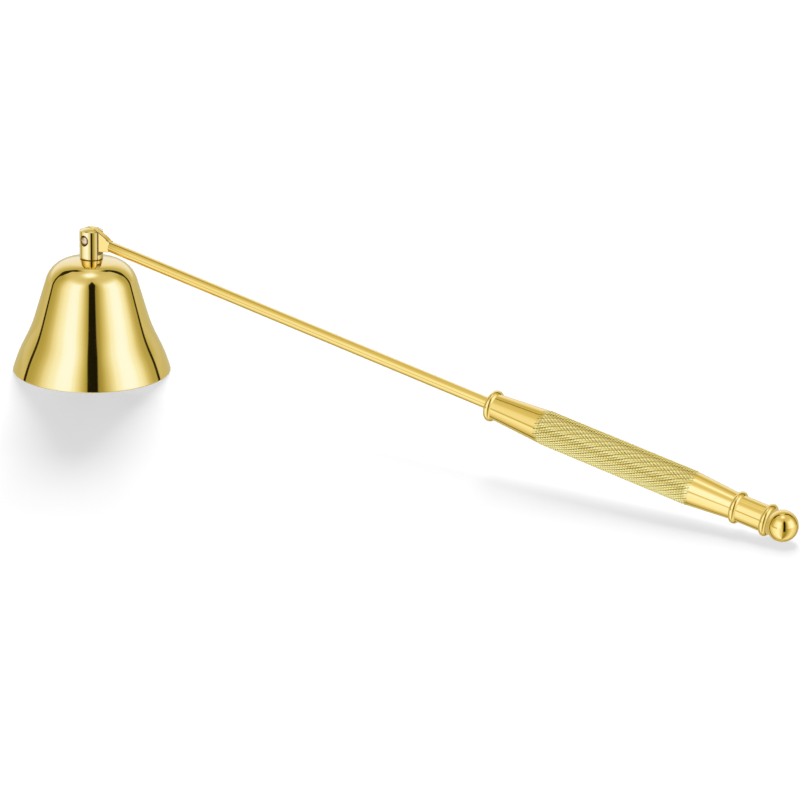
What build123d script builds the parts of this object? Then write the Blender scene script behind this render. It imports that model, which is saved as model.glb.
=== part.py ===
import os
from math import acos, asin, atan2, cos, degrees, hypot, radians, sin, sqrt

from build123d import *

os.makedirs("parts", exist_ok=True)

# Bell: a thin cup, mouth down on the table, with a domed crown, a rounded
# shoulder, a straight flank, a shallow waist and a lip that steepens again.
mouth_diameter = 40.0
bell_height = 29.4
bell_wall = 1.0
shoulder_radius = 7.3
waist_radius = 22.0
lip_radius = 39.0
crown_angle = 12.5
flank_angle = 73.3
flare_angle = 61.1
lip_angle = 75.0
lip_round_share = 0.25
facing_depth = 0.18
pad_diameter = 7.2
pad_step = 0.24

# Clevis post: a round post on the crown, slotted for the lug, drilled for the
# pin, with a stud below that passes through the crown.
post_diameter = 5.9
post_height = 7.25
post_dome = 0.8
stud_diameter = 3.0
stud_hole_clearance = 0.15
stud_tail = 0.9

# Fastening inside the bell.
washer_diameter = 6.6
washer_thickness = 0.5
washer_clearance = 0.1
spring_diameter = 5.8
spring_thickness = 0.8
spring_slit = 0.6
nut_flats = 5.5
nut_height = 2.4
thread_clearance = 0.05

# Hinge between the post and the lug.
pin_rise = 5.0
pin_diameter = 2.0
pin_recess = 0.06
pin_round_share = 0.3
countersink_diameter = 2.8
countersink_depth = 0.55
running_clearance = 0.04
lug_thickness = 1.6
side_clearance = 0.06
eye_radius = 3.2
floor_gap = 0.5

# Handle, measured along its own axis from the hinge pin.
lug_length = 6.4
spigot_diameter = 1.5
spigot_length = 5.0
spigot_end_gap = 0.3
seat_clearance = 0.02
rod_diameter = 2.7
rod_showing = 114.5
ferrule_diameter = 7.5
ferrule_width = 1.8
front_taper = 13.4
grip_diameter = 8.05
grip_band = 38.7
rear_taper = 11.1
taper_end_diameter = 6.15
collar_diameter = 7.5
collar_width = 1.6
neck_diameter = 6.1
neck_length = 6.0
bead_diameter = 7.5
bead_width = 1.6
ball_diameter = 7.1
ball_standoff = 2.7
thread_length = 5.0
thread_end_gap = 0.4

# Extra reach of a cut past the face it opens.
overrun = 2.0

# Half sizes.
mouth_radius = mouth_diameter / 2
pad_radius = pad_diameter / 2
post_radius = post_diameter / 2
stud_radius = stud_diameter / 2
pin_radius = pin_diameter / 2
rod_radius = rod_diameter / 2
ball_radius = ball_diameter / 2
spigot_radius = spigot_diameter / 2

# The bell's crown radius and straight flank follow from its height and mouth.
crown_turn = radians(crown_angle)
flank_turn = radians(flank_angle)
flare_turn = radians(flare_angle)
lip_turn = radians(lip_angle)
spread_left = (
    mouth_radius
    - shoulder_radius * (sin(flank_turn) - sin(crown_turn))
    - waist_radius * (sin(flank_turn) - sin(flare_turn))
    - lip_radius * (sin(lip_turn) - sin(flare_turn))
)
drop_left = (
    bell_height
    - shoulder_radius * (cos(crown_turn) - cos(flank_turn))
    - waist_radius * (cos(flare_turn) - cos(flank_turn))
    - lip_radius * (cos(flare_turn) - cos(lip_turn))
)
crown_rise_share = 1 - cos(crown_turn)
turn_share = sin(crown_turn) * sin(flank_turn) - crown_rise_share * cos(flank_turn)
crown_radius = (spread_left * sin(flank_turn) - drop_left * cos(flank_turn)) / turn_share
flank_length = (drop_left * sin(crown_turn) - spread_left * crown_rise_share) / turn_share

# Heights up the bell's axis.
foot_level = bell_height - facing_depth
wall_top_level = foot_level + post_height
pin_level = foot_level + pin_rise
slot_floor_level = pin_level - eye_radius - floor_gap
dome_centre_level = bell_height - crown_radius
dome_inside_radius = crown_radius - bell_wall
pad_rim_level = dome_centre_level + sqrt(dome_inside_radius**2 - pad_radius**2)
pad_level = pad_rim_level - pad_step
washer_level = pad_level - washer_thickness
spring_level = washer_level - spring_thickness
nut_level = spring_level - nut_height
stud_end_level = nut_level - stud_tail

# Stations along the handle's axis.
rod_start = lug_length
ferrule_start = rod_start + rod_showing
grip_start = ferrule_start + ferrule_width
band_start = grip_start + front_taper
band_end = band_start + grip_band
collar_start = band_end + rear_taper
finial_start = collar_start + collar_width
rod_end = finial_start + thread_length
bead_start = finial_start + neck_length
bead_end = bead_start + bead_width
ball_station = bead_end + ball_standoff
ball_tip = ball_station + ball_radius

# The handle slopes down until the ball end touches the table.
slope = asin((pin_level - ball_radius) / ball_station)
handle_plane = Plane(
    origin=(0, 0, pin_level),
    x_dir=(cos(slope), 0, -sin(slope)),
    z_dir=(0, -1, 0),
)
handle_axis = Axis((0, 0, pin_level), (cos(slope), 0, -sin(slope)))
rod_bore_radius = rod_radius + seat_clearance

# Bell cup, turned all round with an even wall, faced flat under the post and
# bored for the stud, with a flat pad inside for the washer.
with BuildPart() as bell_cup:
    with BuildSketch(Plane.XZ):
        with BuildLine():
            crown = JernArc((0, bell_height), (1, 0), crown_radius, -crown_angle)
            shoulder = JernArc(crown @ 1, crown % 1, shoulder_radius, crown_angle - flank_angle)
            flank = Line(shoulder @ 1, shoulder @ 1 + (shoulder % 1) * flank_length)
            waist = JernArc(flank @ 1, flank % 1, waist_radius, flank_angle - flare_angle)
            lip = JernArc(waist @ 1, waist % 1, lip_radius, flare_angle - lip_angle)
            crown_in = JernArc((0, bell_height - bell_wall), (1, 0), crown_radius - bell_wall, -crown_angle)
            shoulder_in = JernArc(
                crown_in @ 1, crown_in % 1, shoulder_radius - bell_wall, crown_angle - flank_angle
            )
            flank_in = Line(shoulder_in @ 1, shoulder_in @ 1 + (shoulder_in % 1) * flank_length)
            waist_in = JernArc(flank_in @ 1, flank_in % 1, waist_radius + bell_wall, flank_angle - flare_angle)
            lip_in = JernArc(waist_in @ 1, waist_in % 1, lip_radius - bell_wall, flare_angle - lip_angle)
            Line(lip @ 1, lip_in @ 1)
            Line(crown_in @ 0, crown @ 0)
        make_face()
    revolve(axis=Axis.Z)
    split(bisect_by=Plane.XY, keep=Keep.TOP)
    fillet(bell_cup.edges().group_by(Axis.Z)[0], radius=bell_wall * lip_round_share)
    with Locations((0, 0, pad_level)):
        Cylinder(
            pad_radius,
            pad_step + bell_wall / 2,
            align=(Align.CENTER, Align.CENTER, Align.MIN),
        )
    with Locations((0, 0, foot_level)):
        Cylinder(
            post_diameter,
            overrun,
            align=(Align.CENTER, Align.CENTER, Align.MIN),
            mode=Mode.SUBTRACT,
        )
    with Locations((0, 0, bell_height)):
        Cylinder(
            stud_radius + stud_hole_clearance,
            2 * (bell_height - pad_level + overrun),
            mode=Mode.SUBTRACT,
        )
bell_cup.part.label = "bell_cup"
export_step(bell_cup.part, "parts/bell_cup.step")

# Clevis post with its domed top, open slot, countersunk pin hole and stud.
with BuildPart() as clevis_post:
    with BuildSketch(Plane.XZ):
        with BuildLine():
            Polyline(
                (0, stud_end_level),
                (stud_radius, stud_end_level),
                (stud_radius, foot_level),
                (post_radius, foot_level),
                (post_radius, wall_top_level),
            )
            RadiusArc(
                (post_radius, wall_top_level),
                (0, wall_top_level + post_dome),
                -(post_radius**2 + post_dome**2) / (2 * post_dome),
            )
            Line((0, wall_top_level + post_dome), (0, stud_end_level))
        make_face()
    revolve(axis=Axis.Z)
    with Locations((0, 0, slot_floor_level)):
        Box(
            post_diameter + overrun,
            lug_thickness + 2 * side_clearance,
            post_height + post_dome,
            align=(Align.CENTER, Align.CENTER, Align.MIN),
            mode=Mode.SUBTRACT,
        )
    with Locations(Location((0, 0, pin_level), (90, 0, 0))):
        Cylinder(pin_radius, post_diameter + overrun, mode=Mode.SUBTRACT)
    with Locations(
        Location((0, -post_radius, pin_level), (-90, 0, 0)),
        Location((0, post_radius, pin_level), (90, 0, 0)),
    ):
        Cone(
            countersink_diameter / 2,
            pin_radius,
            countersink_depth,
            align=(Align.CENTER, Align.CENTER, Align.MIN),
            mode=Mode.SUBTRACT,
        )
clevis_post.part.label = "clevis_post"
export_step(clevis_post.part, "parts/clevis_post.step")

# Flat washer against the pad inside the crown.
with BuildPart() as flat_washer:
    with BuildSketch(Plane.XY.offset(washer_level)):
        Circle(washer_diameter / 2)
        Circle(stud_radius + washer_clearance, mode=Mode.SUBTRACT)
    extrude(amount=washer_thickness)
flat_washer.part.label = "flat_washer"
export_step(flat_washer.part, "parts/flat_washer.step")

# Split spring washer under the nut.
with BuildPart() as spring_washer:
    with BuildSketch(Plane.XY.offset(spring_level)):
        Circle(spring_diameter / 2)
        Circle(stud_radius + washer_clearance, mode=Mode.SUBTRACT)
        with Locations((0, spring_diameter / 2)):
            Rectangle(spring_slit, spring_diameter, mode=Mode.SUBTRACT)
    extrude(amount=spring_thickness)
spring_washer.part.label = "spring_washer"
export_step(spring_washer.part, "parts/spring_washer.step")

# Hexagon nut that draws the post down onto the crown.
with BuildPart() as crown_nut:
    with BuildSketch(Plane.XY.offset(nut_level)):
        RegularPolygon(nut_flats / 2, 6, major_radius=False)
        Circle(stud_radius + thread_clearance, mode=Mode.SUBTRACT)
    extrude(amount=nut_height)
crown_nut.part.label = "crown_nut"
export_step(crown_nut.part, "parts/crown_nut.step")

# Hinge pin, tight in both ears, with rounded ends.
with BuildPart() as hinge_pin:
    with Locations(Location((0, 0, pin_level), (90, 0, 0))):
        Cylinder(pin_radius, post_diameter - 2 * pin_recess)
    fillet(hinge_pin.edges().filter_by(GeomType.CIRCLE), radius=pin_radius * pin_round_share)
hinge_pin.part.label = "hinge_pin"
export_step(hinge_pin.part, "parts/hinge_pin.step")

# Hinge lug: a flat tongue with a round eye, narrowing to the rod, with a round
# spigot fixed in the rod's end.
corner_reach = hypot(lug_length, rod_radius)
tangent_turn = atan2(rod_radius, lug_length) + acos(eye_radius / corner_reach)
tangent_point = (eye_radius * cos(tangent_turn), eye_radius * sin(tangent_turn))
with BuildPart() as hinge_lug:
    with BuildSketch(handle_plane):
        Circle(eye_radius)
        with BuildLine():
            Polyline(
                tangent_point,
                (lug_length, rod_radius),
                (lug_length, -rod_radius),
                (tangent_point[0], -tangent_point[1]),
                close=True,
            )
        make_face()
        Circle(pin_radius + running_clearance, mode=Mode.SUBTRACT)
    extrude(amount=lug_thickness / 2, both=True)
    with BuildSketch(handle_plane):
        with BuildLine():
            Polyline(
                (lug_length - spigot_radius, 0),
                (lug_length + spigot_length, 0),
                (lug_length + spigot_length, spigot_radius),
                (lug_length - spigot_radius, spigot_radius),
                close=True,
            )
        make_face()
    revolve(axis=handle_axis)
hinge_lug.part.label = "hinge_lug"
export_step(hinge_lug.part, "parts/hinge_lug.step")

# Stem rod: runs from the lug right through the handle into the finial.
spigot_bore_radius = spigot_radius + seat_clearance
spigot_bore_end = lug_length + spigot_length + spigot_end_gap
with BuildPart() as stem_rod:
    with BuildSketch(handle_plane):
        with BuildLine():
            Polyline(
                (rod_start, spigot_bore_radius),
                (rod_start, rod_radius),
                (rod_end, rod_radius),
                (rod_end, 0),
                (spigot_bore_end, 0),
                (spigot_bore_end, spigot_bore_radius),
                close=True,
            )
        make_face()
    revolve(axis=handle_axis)
stem_rod.part.label = "stem_rod"
export_step(stem_rod.part, "parts/stem_rod.step")

# Front ferrule: a disc with a fully rounded edge, fixed on the rod.
ferrule_edge = ferrule_width / 2
ferrule_crest = ferrule_diameter / 2
with BuildPart() as front_ferrule:
    with BuildSketch(handle_plane):
        with BuildLine():
            Polyline(
                (ferrule_start, ferrule_crest - ferrule_edge),
                (ferrule_start, rod_bore_radius),
                (grip_start, rod_bore_radius),
                (grip_start, ferrule_crest - ferrule_edge),
            )
            ThreePointArc(
                (grip_start, ferrule_crest - ferrule_edge),
                (ferrule_start + ferrule_edge, ferrule_crest),
                (ferrule_start, ferrule_crest - ferrule_edge),
            )
        make_face()
    revolve(axis=handle_axis)
front_ferrule.part.label = "front_ferrule"
export_step(front_ferrule.part, "parts/front_ferrule.step")

# Grip: a bored sleeve with a cylindrical band between two tapers.
with BuildPart() as grip:
    with BuildSketch(handle_plane):
        with BuildLine():
            Polyline(
                (grip_start, rod_bore_radius),
                (grip_start, taper_end_diameter / 2),
                (band_start, grip_diameter / 2),
                (band_end, grip_diameter / 2),
                (collar_start, taper_end_diameter / 2),
                (collar_start, rod_bore_radius),
                close=True,
            )
        make_face()
    revolve(axis=handle_axis)
grip.part.label = "grip"
export_step(grip.part, "parts/grip.step")

# Rear collar: a loose ring with a fully rounded edge, clamped by the finial.
collar_edge = collar_width / 2
collar_crest = collar_diameter / 2
with BuildPart() as rear_collar:
    with BuildSketch(handle_plane):
        with BuildLine():
            Polyline(
                (collar_start, collar_crest - collar_edge),
                (collar_start, rod_bore_radius),
                (finial_start, rod_bore_radius),
                (finial_start, collar_crest - collar_edge),
            )
            ThreePointArc(
                (finial_start, collar_crest - collar_edge),
                (collar_start + collar_edge, collar_crest),
                (collar_start, collar_crest - collar_edge),
            )
        make_face()
    revolve(axis=handle_axis)
rear_collar.part.label = "rear_collar"
export_step(rear_collar.part, "parts/rear_collar.step")

# Ball finial: neck, rounded bead and ball in one turned piece, screwed on the
# rod's end.
bead_edge = bead_width / 2
bead_crest = bead_diameter / 2
ball_root = sqrt(ball_radius**2 - ball_standoff**2)
ball_turn = degrees(atan2(ball_root, -ball_standoff))
finial_bore_radius = rod_radius + thread_clearance
finial_bore_end = rod_end + thread_end_gap
with BuildPart() as ball_finial:
    with BuildSketch(handle_plane):
        with BuildLine():
            CenterArc((ball_station, 0), ball_radius, 0, ball_turn)
            Polyline(
                (bead_end, ball_root),
                (bead_end, bead_crest - bead_edge),
            )
            ThreePointArc(
                (bead_end, bead_crest - bead_edge),
                (bead_start + bead_edge, bead_crest),
                (bead_start, bead_crest - bead_edge),
            )
            Polyline(
                (bead_start, bead_crest - bead_edge),
                (bead_start, neck_diameter / 2),
                (finial_start, neck_diameter / 2),
                (finial_start, finial_bore_radius),
                (finial_bore_end, finial_bore_radius),
                (finial_bore_end, 0),
                (ball_tip, 0),
            )
        make_face()
    revolve(axis=handle_axis)
ball_finial.part.label = "ball_finial"
export_step(ball_finial.part, "parts/ball_finial.step")
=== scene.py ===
import math

import bmesh
import bpy
from mathutils import Matrix, Vector


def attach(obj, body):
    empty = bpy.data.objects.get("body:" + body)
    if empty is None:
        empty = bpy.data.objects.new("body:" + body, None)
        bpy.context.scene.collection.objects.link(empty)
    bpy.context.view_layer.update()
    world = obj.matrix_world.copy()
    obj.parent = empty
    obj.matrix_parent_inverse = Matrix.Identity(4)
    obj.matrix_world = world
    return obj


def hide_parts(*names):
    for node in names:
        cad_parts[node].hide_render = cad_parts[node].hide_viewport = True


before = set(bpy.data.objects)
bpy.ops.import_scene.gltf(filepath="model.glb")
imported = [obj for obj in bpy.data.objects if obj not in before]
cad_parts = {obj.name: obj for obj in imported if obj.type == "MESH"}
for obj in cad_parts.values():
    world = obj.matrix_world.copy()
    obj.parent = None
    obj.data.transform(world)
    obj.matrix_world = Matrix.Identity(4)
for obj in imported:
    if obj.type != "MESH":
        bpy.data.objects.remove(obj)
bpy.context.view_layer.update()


# Bell cup: a thin brass cup, spun and turned to an even wall, then gold plated and
# mirror polished outside. Its inside keeps the fine rings of the turning tool.
mm = 0.001
bell_height = 29.4 * mm
mouth_radius = 20.0 * mm
bell_wall = 1.0 * mm
shoulder_radius = 7.3 * mm
waist_radius = 22.0 * mm
lip_radius = 39.0 * mm
crown_turn = math.radians(12.5)
flank_turn = math.radians(73.3)
flare_turn = math.radians(61.1)
lip_turn = math.radians(75.0)
waist_ease = 2.6 * mm
eased_height = 0.6 * bell_height
lip_round = 0.25 * mm
lip_steps = 8
facing_depth = 0.18 * mm
facing_inset = 0.04 * mm
stud_hole_radius = 1.65 * mm
pad_radius = 3.6 * mm
pad_step = 0.24 * mm
pad_clear = 0.05 * mm
outside_step = 0.22 * mm
inside_step = 0.5 * mm
hairline_depth = 0.02 * mm


def polished_gold(name, colour, roughness, hairline, stretch=(1, 1, 1)):
    """Gold plate over polished metal: a trace of uneven tone, polishing haze and fine hairlines."""
    gold = bpy.data.materials.new(name)
    gold.use_nodes = True
    nodes, links = gold.node_tree.nodes, gold.node_tree.links
    shader = nodes["Principled BSDF"]
    shader.inputs["Metallic"].default_value = 1.0
    place = nodes.new("ShaderNodeTexCoord")
    drift = nodes.new("ShaderNodeTexNoise")
    drift.inputs["Scale"].default_value = 55.0
    drift.inputs["Detail"].default_value = 3.0
    links.new(place.outputs["Object"], drift.inputs["Vector"])
    thin_plate = (0.985, 0.965, 0.90)
    tone = nodes.new("ShaderNodeValToRGB")
    tone.color_ramp.elements[0].position = 0.3
    tone.color_ramp.elements[0].color = (*[c * t for c, t in zip(colour, thin_plate)], 1)
    tone.color_ramp.elements[1].position = 0.7
    tone.color_ramp.elements[1].color = (*colour, 1)
    links.new(drift.outputs["Fac"], tone.inputs["Fac"])
    links.new(tone.outputs["Color"], shader.inputs["Base Color"])
    haze = nodes.new("ShaderNodeTexNoise")
    haze.inputs["Scale"].default_value = 420.0
    haze.inputs["Detail"].default_value = 4.0
    links.new(place.outputs["Object"], haze.inputs["Vector"])
    polish = nodes.new("ShaderNodeMapRange")
    polish.inputs["From Min"].default_value = 0.35
    polish.inputs["From Max"].default_value = 0.7
    polish.inputs["To Min"].default_value = roughness * 0.75
    polish.inputs["To Max"].default_value = roughness * 1.3
    links.new(haze.outputs["Fac"], polish.inputs["Value"])
    links.new(polish.outputs["Result"], shader.inputs["Roughness"])
    along = nodes.new("ShaderNodeMapping")
    along.inputs["Scale"].default_value = stretch
    links.new(place.outputs["Object"], along.inputs["Vector"])
    lines = nodes.new("ShaderNodeTexNoise")
    lines.inputs["Scale"].default_value = 900.0
    lines.inputs["Detail"].default_value = 2.0
    links.new(along.outputs["Vector"], lines.inputs["Vector"])
    relief = nodes.new("ShaderNodeBump")
    relief.inputs["Strength"].default_value = hairline
    relief.inputs["Distance"].default_value = hairline_depth
    links.new(lines.outputs["Fac"], relief.inputs["Height"])
    links.new(relief.outputs["Normal"], shader.inputs["Normal"])
    return gold


def bow(start, turn_from, turn_to, radius, step):
    """Points along an arc of a turned outline; turn is the slope below level."""
    count = max(2, math.ceil(abs(turn_to - turn_from) * radius / step))
    sign = 1 if turn_to > turn_from else -1
    points = []
    for i in range(1, count + 1):
        turn = turn_from + (turn_to - turn_from) * i / count
        across = sign * radius * (math.sin(turn) - math.sin(turn_from))
        down = sign * radius * (math.cos(turn_from) - math.cos(turn))
        points.append((start[0] + across, start[1] - down))
    return points


def bell_outline(inset, step):
    """The bell's wall line from the axis to the lip, set in by part of the wall."""
    spread = (
        mouth_radius
        - shoulder_radius * (math.sin(flank_turn) - math.sin(crown_turn))
        - waist_radius * (math.sin(flank_turn) - math.sin(flare_turn))
        - lip_radius * (math.sin(lip_turn) - math.sin(flare_turn))
    )
    drop = (
        bell_height
        - shoulder_radius * (math.cos(crown_turn) - math.cos(flank_turn))
        - waist_radius * (math.cos(flare_turn) - math.cos(flank_turn))
        - lip_radius * (math.cos(flare_turn) - math.cos(lip_turn))
    )
    rise = 1 - math.cos(crown_turn)
    share = math.sin(crown_turn) * math.sin(flank_turn) - rise * math.cos(flank_turn)
    crown_radius = (spread * math.sin(flank_turn) - drop * math.cos(flank_turn)) / share
    flank = (drop * math.sin(crown_turn) - spread * rise) / share
    points = [(0.0, bell_height - inset)]
    points += bow(points[-1], 0.0, crown_turn, crown_radius - inset, step)
    points += bow(points[-1], crown_turn, flank_turn, shoulder_radius - inset, step)
    count = math.ceil(flank / step)
    start = points[-1]
    for i in range(1, count + 1):
        reach = flank * i / count
        points.append((start[0] + reach * math.cos(flank_turn), start[1] - reach * math.sin(flank_turn)))
    points += bow(points[-1], flank_turn, flare_turn, waist_radius + inset, step)
    points += bow(points[-1], flare_turn, lip_turn, lip_radius - inset, step)
    ease = math.ceil(waist_ease / step)
    eased = list(points)
    for i in range(len(points)):
        reach = min(ease, len(points) - 1 - i) if points[i][1] < eased_height else 0
        near = points[i - reach:i + reach + 1]
        eased[i] = (sum(p[0] for p in near) / len(near), sum(p[1] for p in near) / len(near))
    return eased


def as_object(name, shape):
    """An object at the origin made from a shape."""
    mesh = bpy.data.meshes.new(name)
    shape.to_mesh(mesh)
    shape.free()
    piece = bpy.data.objects.new(name, mesh)
    bpy.context.scene.collection.objects.link(piece)
    return piece


def smoothed(name, shape, crease):
    """An object whose faces point outwards, smooth but for edges sharper than the crease in degrees."""
    bmesh.ops.recalc_face_normals(shape, faces=shape.faces)
    piece = as_object(name, shape)
    piece.data.shade_smooth()
    piece.data.set_sharp_from_angle(angle=math.radians(crease))
    return piece


def turned(name, outline, origin, direction, steps, crease, closed=True):
    """A piece turned from (radius, along) points about an axis; a point on the axis becomes a pole."""
    along = Vector(direction).normalized()
    side = along.cross(Vector((0, 1, 0)))
    if side.length < 0.1:
        side = along.cross(Vector((1, 0, 0)))
    side.normalize()
    up = along.cross(side)
    shape = bmesh.new()
    rings = []
    for radius, reach in outline:
        middle = Vector(origin) + along * reach
        if radius < 1e-9:
            rings.append([shape.verts.new(middle)])
            continue
        ring = []
        for i in range(steps):
            angle = 2 * math.pi * i / steps
            spoke = side * math.cos(angle) + up * math.sin(angle)
            ring.append(shape.verts.new(middle + spoke * radius))
        rings.append(ring)
    pairs = list(zip(rings, rings[1:]))
    if closed:
        pairs.append((rings[-1], rings[0]))
    for first, second in pairs:
        a, b = len(first), len(second)
        if a == 1 and b == 1:
            continue
        for i in range(steps):
            j = (i + 1) % steps
            corners = [first[i % a], first[j % a], second[j % b], second[i % b]]
            shape.faces.new(list(dict.fromkeys(corners)))
    return smoothed(name, shape, crease)


facing_level = bell_height - facing_depth
outside_foot = lip_round * (1 + math.cos(lip_turn))
inside_foot = lip_round * (1 - math.cos(lip_turn))
outside = [p for p in bell_outline(0.0, outside_step) if outside_foot < p[1] < facing_level]
inside = [p for p in bell_outline(bell_wall, inside_step) if p[1] > inside_foot]
pad_rim = max(p[1] for p in inside if p[0] > pad_radius)
pad_level = pad_rim - pad_step
inside = [p for p in inside if p[0] > pad_radius + pad_clear]
facing_edge = outside[0][0] - facing_inset
lip_lean = lip_round * math.sin(lip_turn)
lip_out = mouth_radius - outside_foot / math.tan(lip_turn) - lip_lean
lip_in = mouth_radius - bell_wall / math.sin(lip_turn) - inside_foot / math.tan(lip_turn) + lip_lean
lip_slant = math.degrees(lip_turn)
lip = []
for centre, first, last in ((lip_out, 90 - lip_slant, -90), (lip_in, -90, -90 - lip_slant)):
    for i in range(lip_steps + 1):
        angle = math.radians(first + (last - first) * i / lip_steps)
        lip.append((centre + lip_round * math.cos(angle), lip_round + lip_round * math.sin(angle)))
wall = [(stud_hole_radius, pad_level), (stud_hole_radius, facing_level), (facing_edge, facing_level)]
wall += outside + lip + inside[::-1] + [(pad_radius, pad_rim), (pad_radius, pad_level)]
bell = turned("bell_cup", wall, (0, 0, 0), (0, 0, 1), steps=256, crease=38)
gold = polished_gold("polished_gold", (0.93, 0.70, 0.22), roughness=0.055, hairline=0.05, stretch=(1, 1, 14))
tool_rings = (0.3, 0.3, 22)
spun_gold = polished_gold("spun_gold", (0.88, 0.64, 0.22), roughness=0.16, hairline=0.5, stretch=tool_rings)
bell.data.materials.append(gold)
bell.data.materials.append(spun_gold)
for face in bell.data.polygons:
    x, y, z = face.center
    faces_axis = face.normal.x * x + face.normal.y * y < -1e-9
    on_pad = face.normal.z < -0.3 and math.hypot(x, y) < pad_radius
    if faces_axis or on_pad:
        face.material_index = 1
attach(bell, "bell")
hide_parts("bell_cup")


# Clevis post: a turned brass post with a shallow domed top, milled with an open slot and
# drilled across for the pin. Its threaded stud goes down through the crown.
post_radius = 2.95 * mm
post_top = facing_level + 7.25 * mm
post_dome = 0.8 * mm
post_rows = 12
groove_foot = 0.25 * mm
groove_back = 0.22 * mm
groove_height = 0.2 * mm
groove_top = 0.24 * mm
foot_shade_reach = 0.3 * mm
pin_level = facing_level + 5.0 * mm
pin_radius = 1.0 * mm
countersink_radius = 1.42 * mm
countersink_floor = 0.3 * mm
slot_floor = pin_level - 3.7 * mm
slot_half = 0.86 * mm
slot_skin = 0.02 * mm
slot_edge = 0.24 * mm
past_post = 10.0 * mm
edge_round = 0.2 * mm
stud_radius = 1.5 * mm
stud_end = pad_level - 4.6 * mm
stud_steps = 64
stud_rows = 90
thread_pitch = 0.5 * mm
thread_depth = 0.3 * mm
thread_flank = 1.25
thread_flat = 0.1
hinge = Vector((0, 0, pin_level))


def cut_away(piece, cutters, rounding, crease):
    """Cuts shapes out of a piece, rounds its edges a little and keeps flat faces flat."""
    for cutter in cutters:
        cut = piece.modifiers.new("cut", "BOOLEAN")
        cut.operation = "DIFFERENCE"
        cut.solver = "EXACT"
        cut.object = cutter
    soften = piece.modifiers.new("soften", "BEVEL")
    soften.width = rounding
    soften.segments = 3
    soften.limit_method = "ANGLE"
    soften.angle_limit = math.radians(crease)
    soften.harden_normals = True
    bpy.context.view_layer.update()
    cut_mesh = bpy.data.meshes.new_from_object(piece.evaluated_get(bpy.context.evaluated_depsgraph_get()))
    old = piece.data
    piece.modifiers.clear()
    piece.data = cut_mesh
    cut_mesh.name = piece.name
    bpy.data.meshes.remove(old)
    for cutter in cutters:
        bpy.data.objects.remove(cutter)


def block(name, low, high):
    """A plain box to cut with."""
    shape = bmesh.new()
    bmesh.ops.create_cube(shape, size=1)
    for v in shape.verts:
        v.co = Vector([low[k] if v.co[k] < 0 else high[k] for k in range(3)])
    return as_object(name, shape)


def skin(shape, first, second):
    """Faces between two rings with the same number of points."""
    following = zip(first[1:] + first[:1], second[1:] + second[:1])
    return [shape.faces.new((a, b, d, c)) for a, c, (b, d) in zip(first, second, following)]


def on_rounding(face):
    """True on a rounded edge between a flat side and what stands square to it."""
    return 0.2 < abs(face.normal.y) < 0.95


dome_radius = (post_radius**2 + post_dome**2) / (2 * post_dome)
dome_span = math.asin(post_radius / dome_radius)
post_line = [
    (0, facing_level),
    (post_radius - groove_foot, facing_level),
    (post_radius - groove_back, facing_level + groove_height),
    (post_radius, facing_level + groove_top),
]
for i in range(1, post_rows + 1):
    post_line.append((post_radius, facing_level + (post_top - facing_level) * i / post_rows))
for i in range(1, post_rows):
    angle = dome_span * (1 - i / post_rows)
    sagged = post_top + post_dome - dome_radius * (1 - math.cos(angle))
    post_line.append((dome_radius * math.sin(angle), sagged))
post_line.append((0, post_top + post_dome))
post = turned("clevis_post", post_line, (0, 0, 0), (0, 0, 1), steps=160, crease=30, closed=False)
slot_low = (-past_post, -slot_half, slot_floor)
slot_high = (past_post, slot_half, post_top + past_post)
slot = block("slot", slot_low, slot_high)
# Half of the pin's hole with its countersink: radius and distance from the middle, in mm.
hole_half = [(0, 4.0), (1.8, 4.0), (1.45, 3.0), (1.02, 2.4)]
hole_line = [(r * mm, -y * mm) for r, y in hole_half] + [(r * mm, y * mm) for r, y in hole_half[::-1]]
pin_hole = turned("pin_hole", hole_line, hinge, (0, 1, 0), steps=64, crease=30, closed=False)
cut_away(post, [slot, pin_hole], edge_round, crease=40)
post_gold = polished_gold("post_gold", (0.95, 0.73, 0.25), roughness=0.06, hairline=0.05, stretch=(1, 1, 14))
# A dark, rough gold used as painted shade. It darkens the pin's countersinks, the recess round the post's
# foot and the rounded edges beside the slot, and it paints a dark reflection along the lug's upper edge.
painted_shade = polished_gold("polishing_residue", (0.26, 0.15, 0.05), roughness=0.45, hairline=0.6)
milled_gold = polished_gold("milled_gold", (0.92, 0.82, 0.55), roughness=0.4, hairline=0.5)
for finish in (post_gold, painted_shade, milled_gold):
    post.data.materials.append(finish)
# Painted shade: faces in the countersinks, round the foot and on the rounded edges beside the slot take the
# dark gold. The slot's own faces take the milled gold.
for face in post.data.polygons:
    x, y, z = face.center
    from_axis = math.hypot(x, y)
    faces_out = (face.normal.x * x + face.normal.y * y) / from_axis > 0.9
    near_pin = math.hypot(x, z - pin_level) < countersink_radius
    in_hole = near_pin and abs(y) > slot_half + countersink_floor and not faces_out
    at_foot = from_axis > post_radius - foot_shade_reach and z < facing_level + groove_top
    beside_slot = slot_half + slot_skin < abs(y) < slot_half + slot_edge
    if in_hole or at_foot or beside_slot and on_rounding(face):
        face.material_index = 1
    elif abs(y) < slot_half + slot_skin and z > slot_floor - slot_skin:
        face.material_index = 2
stud = bmesh.new()
stud.from_mesh(post.data)
thread = []
for k in range(stud_rows + 1):
    level = stud_end + (facing_level - stud_end) * k / stud_rows
    row = []
    for i in range(stud_steps):
        phase = (level / thread_pitch - i / stud_steps) % 1.0
        from_crest = abs(phase - 0.5) * 2
        cut_share = max(0.0, min(1.0, from_crest * thread_flank - thread_flat))
        radius = stud_radius - thread_depth * cut_share
        radius = min(radius, stud_radius - thread_depth + (level - stud_end))
        angle = 2 * math.pi * i / stud_steps
        row.append(stud.verts.new((radius * math.cos(angle), radius * math.sin(angle), level)))
    thread.append(row)
for low, high in zip(thread, thread[1:]):
    for face in skin(stud, low, high):
        face.smooth = True
stud.faces.new(thread[0][::-1])
stud.faces.new(thread[-1])
stud.to_mesh(post.data)
stud.free()
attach(post, "bell")
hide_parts("clevis_post")


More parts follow.
